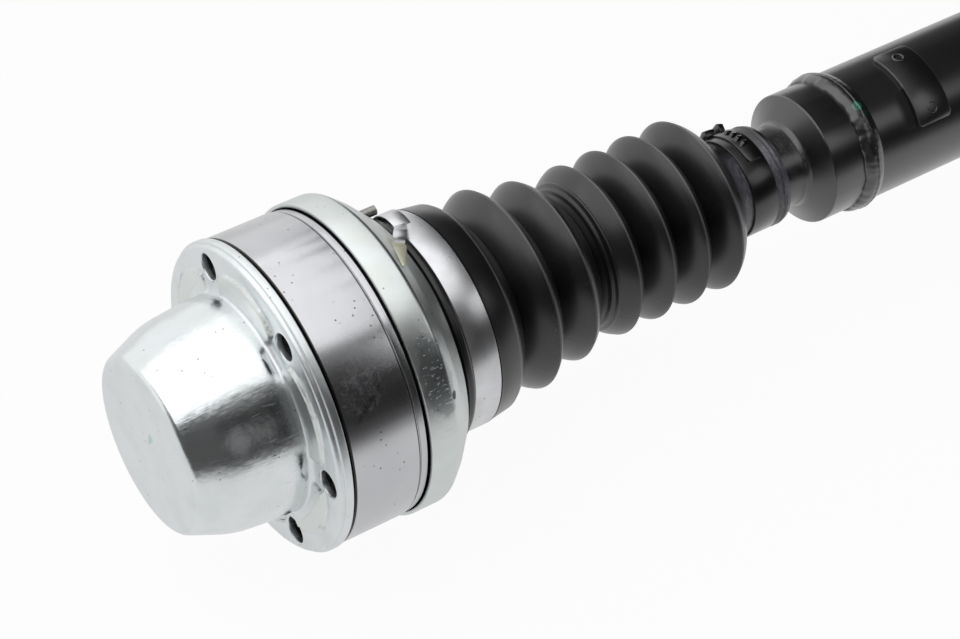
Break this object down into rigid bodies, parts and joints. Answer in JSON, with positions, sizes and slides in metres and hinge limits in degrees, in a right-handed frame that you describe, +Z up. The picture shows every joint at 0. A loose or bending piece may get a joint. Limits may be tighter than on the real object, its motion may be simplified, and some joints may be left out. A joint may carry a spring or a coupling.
{
  "type": "universal joint shaft",
  "caption": "Propeller shaft with a flanged ball joint, grease cap and bellows at one end, a splined slip joint, a welded tube and a cross-type joint with a flange yoke at the other.",
  "frame": {"origin": "centre of the ball joint's flange face, on the shaft's axis and in the plane of the grease cap's flange", "axes": "+X along the shaft from the ball joint to the flange yoke, +Z up, +Y across; the grease cap points to -X"},
  "size_m": [0.581, 0.1024, 0.1024],
  "materials": {
    "zinc_plate": "bright zinc-plated pressed sheet",
    "ground_steel": "ground steel, circumferential grain",
    "machined_steel": "machined steel",
    "ball_steel": "polished bearing steel",
    "dark_steel": "oiled dark steel",
    "stainless": "stainless band",
    "black_clamp": "black coated band",
    "black_paint": "semi-gloss black paint",
    "rubber": "satin black rubber",
    "gasket": "black fibre gasket",
    "brass_plated": "yellow plated nipple"
  },
  "bodies": {
    "shaft": {"spline_sleeve": "black_paint", "sleeve_plug": "dark_steel", "front_weld": "black_paint", "shaft_tube": "black_paint", "balance_weight": "black_paint", "rear_weld": "black_paint", "tube_yoke": "black_paint", "small_clamp": "black_clamp", "boot_rear": "rubber", "bearing_cup_1": "machined_steel", "bearing_cup_2": "machined_steel", "needle_ring_1": "ball_steel", "needle_ring_2": "ball_steel", "trunnion_seal_1": "rubber", "trunnion_seal_2": "rubber", "snap_ring_1": "dark_steel", "snap_ring_2": "dark_steel"},
    "stub": {"stub_shaft": "machined_steel", "inner_race": "machined_steel", "race_circlip": "dark_steel"},
    "cage": {"ball_cage": "dark_steel", "ball_1": "ball_steel", "ball_2": "ball_steel", "ball_3": "ball_steel", "ball_4": "ball_steel", "ball_5": "ball_steel", "ball_6": "ball_steel", "boot_middle": "rubber"},
    "housing": {"outer_race": "ground_steel", "grease_cap": "zinc_plate", "cap_gasket": "gasket", "boot_can": "zinc_plate", "can_o_ring": "rubber", "large_clamp_band": "stainless", "large_clamp_pin": "stainless", "boot_front": "rubber"},
    "cross": {"cross": "machined_steel", "grease_nipple": "brass_plated"},
    "flange_yoke": {"flange_yoke": "black_paint", "bearing_cup_3": "machined_steel", "bearing_cup_4": "machined_steel", "needle_ring_3": "ball_steel", "needle_ring_4": "ball_steel", "trunnion_seal_3": "rubber", "trunnion_seal_4": "rubber", "snap_ring_3": "dark_steel", "snap_ring_4": "dark_steel"}
  },
  "joints": [
    {"name": "slip", "type": "slide", "parent": "shaft", "child": "stub", "axis": [1, 0, 0], "range_m": [-0.02, 0.02], "deforming": ["boot_rear"]},
    {"name": "cv_pitch", "type": "hinge", "parent": "stub", "child": "cage", "pos_m": [0.024, 0, 0], "axis": [0, 1, 0], "range_deg": [-10, 10], "deforming": ["boot_middle"]},
    {"name": "cv_yaw", "type": "hinge", "parent": "cage", "child": "housing", "pos_m": [0.024, 0, 0], "axis": [0, 0, 1], "range_deg": [-10, 10], "deforming": ["boot_front"]},
    {"name": "cross_pivot", "type": "hinge", "parent": "shaft", "child": "cross", "pos_m": [0.502, 0, 0], "axis": [0, 1, 0], "range_deg": [-25, 25]},
    {"name": "yoke_pivot", "type": "hinge", "parent": "cross", "child": "flange_yoke", "pos_m": [0.502, 0, 0], "axis": [0, 0, 1], "range_deg": [-25, 25]}
  ]
}
